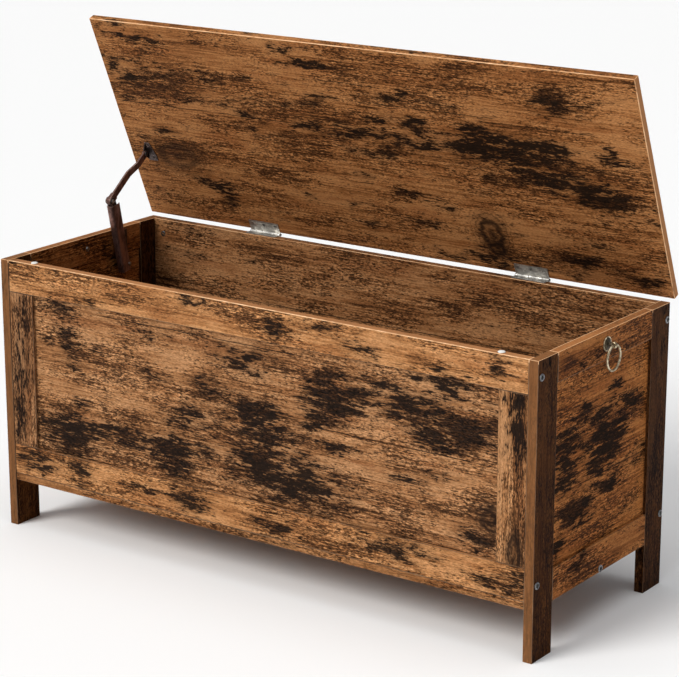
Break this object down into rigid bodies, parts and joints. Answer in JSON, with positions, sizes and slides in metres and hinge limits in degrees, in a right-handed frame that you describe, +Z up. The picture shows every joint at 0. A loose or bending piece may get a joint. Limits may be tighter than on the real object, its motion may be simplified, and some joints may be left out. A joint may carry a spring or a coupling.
{
  "type": "wooden toy box",
  "caption": "Framed and panelled wooden toy chest on four square legs, with a hinged flat lid propped open by a folding stay and a ring pull on each side.",
  "frame": {"origin": "on the floor, under the centre of the open chest's outline (the box's own centre is 7 mm in front of it)", "axes": "+X to the chest's right as seen from the front, along its length; +Y towards its back, where the lid is hinged; +Z up"},
  "size_m": [1.0216, 0.3921, 0.8013],
  "materials": {
    "printed_wood": "matt rustic brown wood print on particle board, with dark smudges and knots",
    "lid_wood": "the same rustic print, with pale brown edge banding",
    "nickel": "satin nickel plate",
    "zinc": "bright zinc plate",
    "antique_brass": "antique brass plate, polished on the rims",
    "bronze": "semi-gloss red-brown bronze lacquer",
    "white_rubber": "soft white pad"
  },
  "bodies": {
    "box": {"left_front_leg": "printed_wood", "left_rear_leg": "printed_wood", "left_top_rail": "printed_wood", "left_bottom_rail": "printed_wood", "left_panel": "printed_wood", "right_front_leg": "printed_wood", "right_rear_leg": "printed_wood", "right_top_rail": "printed_wood", "right_bottom_rail": "printed_wood", "right_panel": "printed_wood", "front_top_rail": "printed_wood", "front_bottom_rail": "printed_wood", "front_left_stile": "printed_wood", "front_right_stile": "printed_wood", "front_panel": "printed_wood", "back_panel": "printed_wood", "floor_board": "printed_wood", "left_front_top_bolt": "zinc", "left_front_bottom_bolt": "zinc", "left_rear_top_bolt": "zinc", "left_rear_bottom_bolt": "zinc", "right_front_top_bolt": "zinc", "right_front_bottom_bolt": "zinc", "right_rear_top_bolt": "zinc", "right_rear_bottom_bolt": "zinc", "left_floor_bolt": "zinc", "right_floor_bolt": "zinc", "left_hinge_box_leaf": "nickel", "left_hinge_pin": "nickel", "left_pull_rose": "antique_brass", "left_pull_screw": "zinc", "left_bumper": "white_rubber", "right_hinge_box_leaf": "nickel", "right_hinge_pin": "nickel", "right_pull_rose": "antique_brass", "right_pull_screw": "zinc", "right_bumper": "white_rubber", "stay_wall_plate": "bronze", "stay_plate_screw_1": "bronze", "stay_plate_screw_2": "bronze", "stay_foot_rivet": "zinc"},
    "lid": {"lid_board": "lid_wood", "left_hinge_lid_leaf": "nickel", "right_hinge_lid_leaf": "nickel", "left_hinge_screw_1": "nickel", "left_hinge_screw_2": "nickel", "left_hinge_screw_3": "nickel", "right_hinge_screw_1": "nickel", "right_hinge_screw_2": "nickel", "right_hinge_screw_3": "nickel", "stay_lid_bracket": "bronze", "stay_lid_rivet": "zinc", "stay_bracket_screw_1": "bronze", "stay_bracket_screw_2": "bronze"},
    "stay_barrel": {"stay_barrel": "bronze", "stay_yoke": "bronze", "stay_elbow_rivet": "zinc"},
    "stay_arm": {"stay_arm": "bronze"},
    "left_pull_ring": {"left_pull_ring": "antique_brass"},
    "right_pull_ring": {"right_pull_ring": "antique_brass"}
  },
  "joints": [
    {"name": "lid_hinge", "type": "hinge", "parent": "box", "child": "lid", "pos_m": [0, 0.1851, 0.4453], "axis": [-1, 0, 0], "range_deg": [-67, 8]},
    {"name": "stay_foot_pivot", "type": "hinge", "parent": "box", "child": "stay_barrel", "pos_m": [-0.4692, 0.0796, 0.3843], "axis": [-1, 0, 0], "range_deg": [-73.2, 8.9]},
    {"name": "stay_elbow_pivot", "type": "hinge", "parent": "stay_barrel", "child": "stay_arm", "pos_m": [-0.4692, 0.043, 0.497], "axis": [-1, 0, 0], "range_deg": [-9.9, 81.9]},
    {"name": "left_ring_swing", "type": "hinge", "parent": "box", "child": "left_pull_ring", "pos_m": [-0.5058, -0.007, 0.4245], "axis": [0, 1, 0], "range_deg": [-12, 90]},
    {"name": "right_ring_swing", "type": "hinge", "parent": "box", "child": "right_pull_ring", "pos_m": [0.5058, -0.007, 0.4245], "axis": [0, -1, 0], "range_deg": [-12, 90]}
  ],
  "couplings": [
    {"joint": "stay_foot_pivot", "follows": "lid_hinge", "ratio": 1.09},
    {"joint": "stay_elbow_pivot", "follows": "lid_hinge", "ratio": -1.219}
  ]
}
